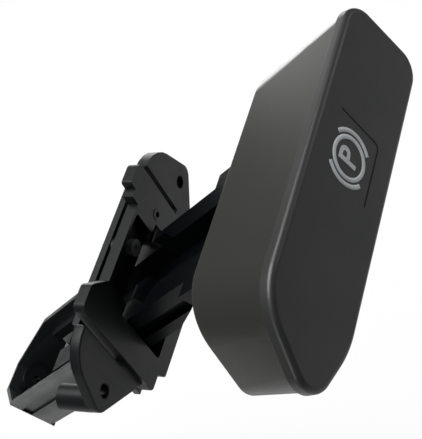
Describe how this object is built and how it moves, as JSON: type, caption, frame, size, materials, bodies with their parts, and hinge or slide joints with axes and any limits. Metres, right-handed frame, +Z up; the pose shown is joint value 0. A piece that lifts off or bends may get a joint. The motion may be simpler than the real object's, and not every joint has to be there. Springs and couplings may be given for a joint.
{
  "type": "parking brake release handle",
  "caption": "Pull handle that slides in a trough behind an eared mounting frame and draws a release cable.",
  "frame": {"origin": "midway between the two ear holes, on the ears' rear seating face", "axes": "+X along the grip, +Y into the dashboard, square to the ears, +Z up in the plane of the ears"},
  "size_m": [0.1185, 0.2002, 0.1537],
  "materials": {
    "grip_shell": "satin moulded ABS",
    "grip_cap": "satin moulded ABS, fine grain",
    "cover": "moulded ABS",
    "arm": "glass-filled nylon",
    "frame": "glass-filled nylon",
    "trough": "glass-filled nylon",
    "screw_steel": "zinc plated steel",
    "hook_steel": "zinc plated sheet steel",
    "bush": "acetal",
    "clip": "acetal",
    "buffer": "moulded rubber"
  },
  "bodies": {
    "bracket": {"mount_frame": "frame", "guide_trough": "trough", "frame_screw_top": "screw_steel", "frame_screw_left": "screw_steel", "frame_screw_right": "screw_steel", "cable_bush": "bush", "bush_clip": "clip"},
    "handle": {"grip_body": "grip_shell", "front_cap": "grip_cap", "back_cover": "cover", "slide_arm": "arm", "arm_screw_left": "screw_steel", "arm_screw_right": "screw_steel", "cable_hook": "hook_steel", "hook_rivet": "hook_steel", "home_buffer_left": "buffer", "home_buffer_right": "buffer", "pull_buffer_left": "buffer", "pull_buffer_right": "buffer"}
  },
  "joints": [
    {"name": "pull_slide", "type": "slide", "parent": "bracket", "child": "handle", "axis": [0, -0.8039, 0.5948], "range_m": [-0.0057, 0.032]}
  ]
}
